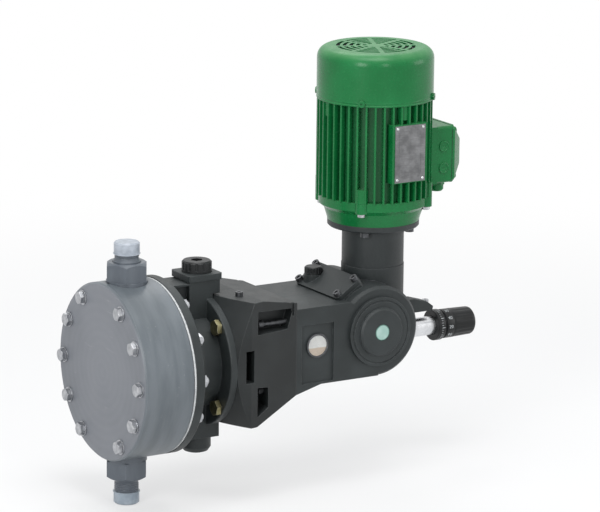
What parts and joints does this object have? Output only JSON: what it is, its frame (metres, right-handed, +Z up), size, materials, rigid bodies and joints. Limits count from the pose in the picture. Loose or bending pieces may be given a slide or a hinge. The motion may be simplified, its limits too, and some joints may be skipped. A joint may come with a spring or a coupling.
{
  "type": "dosing pump",
  "caption": "Motor driven plunger dosing pump with an oil-backed diaphragm, grey plastic head, green upright motor and rear stroke knob.",
  "frame": {"origin": "centre of the four mounting holes, on the flat face under the gear case", "axes": "+X along the pump axis from the liquid head to the stroke knob, +Y across the pump, +Z up along the motor axis"},
  "size_m": [0.4939, 0.2, 0.491],
  "materials": {
    "pvc_grey": "machined, satin",
    "pvc_fitting": "moulded, satin",
    "bright_steel": "bright zinc",
    "yellow_zinc": "yellow passivated zinc",
    "dark_steel": "black oxide",
    "dark_casting": "satin slate paint on casting",
    "green_paint": "glossy green enamel",
    "black_plastic": "moulded, satin",
    "white_ptfe": "smooth, matte",
    "seal_rubber": "matte",
    "clear_cap": "thin translucent plastic",
    "clear_glass": "clear",
    "plate_aluminium": "brushed, bare",
    "stainless": "ground",
    "bearing_steel": "ground and polished",
    "bronze": "machined",
    "core_steel": "stacked sheet",
    "winding_copper": "varnished wire",
    "rotor_aluminium": "cast and turned",
    "spring_steel": "oiled",
    "yoke_iron": "machined"
  },
  "bodies": {
    "housing": {"pump_head": "pvc_grey", "head_bolts": "bright_steel", "head_washers": "bright_steel", "head_nuts": "bright_steel", "diaphragm": "white_ptfe", "support_plate": "stainless", "hydraulic_chamber": "dark_casting", "fill_plug": "black_plastic", "chamber_bolts": "yellow_zinc", "discharge_valve_body": "pvc_fitting", "suction_valve_body": "pvc_fitting", "valve_seals": "seal_rubber", "union_nuts": "pvc_fitting", "pipe_connectors": "pvc_fitting", "port_caps": "clear_cap", "lantern": "dark_casting", "plunger_seals": "seal_rubber", "lantern_bolts": "dark_steel", "gear_case": "dark_casting", "rod_bush": "bronze", "side_cover": "dark_casting", "top_cover": "dark_casting", "case_screws": "dark_steel", "oil_filler_cap": "black_plastic", "sight_glass": "clear_glass", "sight_glass_ring": "dark_steel", "oil_drain_plug": "dark_steel", "gear_bearings": "bearing_steel", "pedestal": "dark_casting", "flange_bolts": "dark_steel", "drive_end_shield": "green_paint", "motor_frame": "green_paint", "stator_core": "core_steel", "stator_windings": "winding_copper", "rear_end_shield": "green_paint", "motor_bearings": "bearing_steel", "shield_bolts": "bright_steel", "fan_cover": "green_paint", "motor_screws": "bright_steel", "data_plate": "plate_aluminium", "terminal_box": "green_paint", "terminal_box_lid": "green_paint", "cable_gland": "green_paint", "stroke_bush": "stainless", "lock_screw": "bright_steel"},
    "rotor_set": {"rotor": "rotor_aluminium", "motor_shaft": "stainless", "fan": "black_plastic", "worm_shaft": "stainless"},
    "wheel_set": {"worm_wheel": "bronze", "wheel_shaft": "stainless"},
    "plunger_set": {"yoke": "yoke_iron", "push_rod": "stainless", "plunger": "stainless", "return_spring": "spring_steel"},
    "stop": {"stop_pin": "stainless"},
    "stroke_screw": {"stroke_spindle": "stainless", "stroke_knob": "black_plastic"},
    "upper_ball": {"discharge_ball": "stainless"},
    "lower_ball": {"suction_ball": "stainless"}
  },
  "joints": [
    {"name": "motor_turn", "type": "hinge", "parent": "housing", "child": "rotor_set", "pos_m": [0.058, 0, 0.1685], "axis": [0, 0, 1], "continuous": true},
    {"name": "wheel_turn", "type": "hinge", "parent": "housing", "child": "wheel_set", "pos_m": [0.03, 0, 0.052], "axis": [0, 1, 0], "continuous": true},
    {"name": "plunger_stroke", "type": "slide", "parent": "housing", "child": "plunger_set", "axis": [1, 0, 0], "range_m": [-0.01, 0], "stiffness_N_per_m": 4000, "springref_m": 0.008, "deforming": ["return_spring"]},
    {"name": "stop_slide", "type": "slide", "parent": "housing", "child": "stop", "axis": [1, 0, 0], "range_m": [-0.01, 0]},
    {"name": "knob_turn", "type": "hinge", "parent": "stop", "child": "stroke_screw", "pos_m": [0.14, 0, 0.032], "axis": [1, 0, 0], "range_deg": [-1441, 1]},
    {"name": "upper_ball_lift", "type": "slide", "parent": "housing", "child": "upper_ball", "axis": [0, 0, 1], "range_m": [0, 0.003]},
    {"name": "lower_ball_lift", "type": "slide", "parent": "housing", "child": "lower_ball", "axis": [0, 0, 1], "range_m": [0, 0.003]}
  ],
  "couplings": [
    {"joint": "wheel_turn", "follows": "motor_turn", "ratio": 0.04},
    {"joint": "knob_turn", "follows": "stop_slide", "rad_per_m": 2513.3}
  ]
}
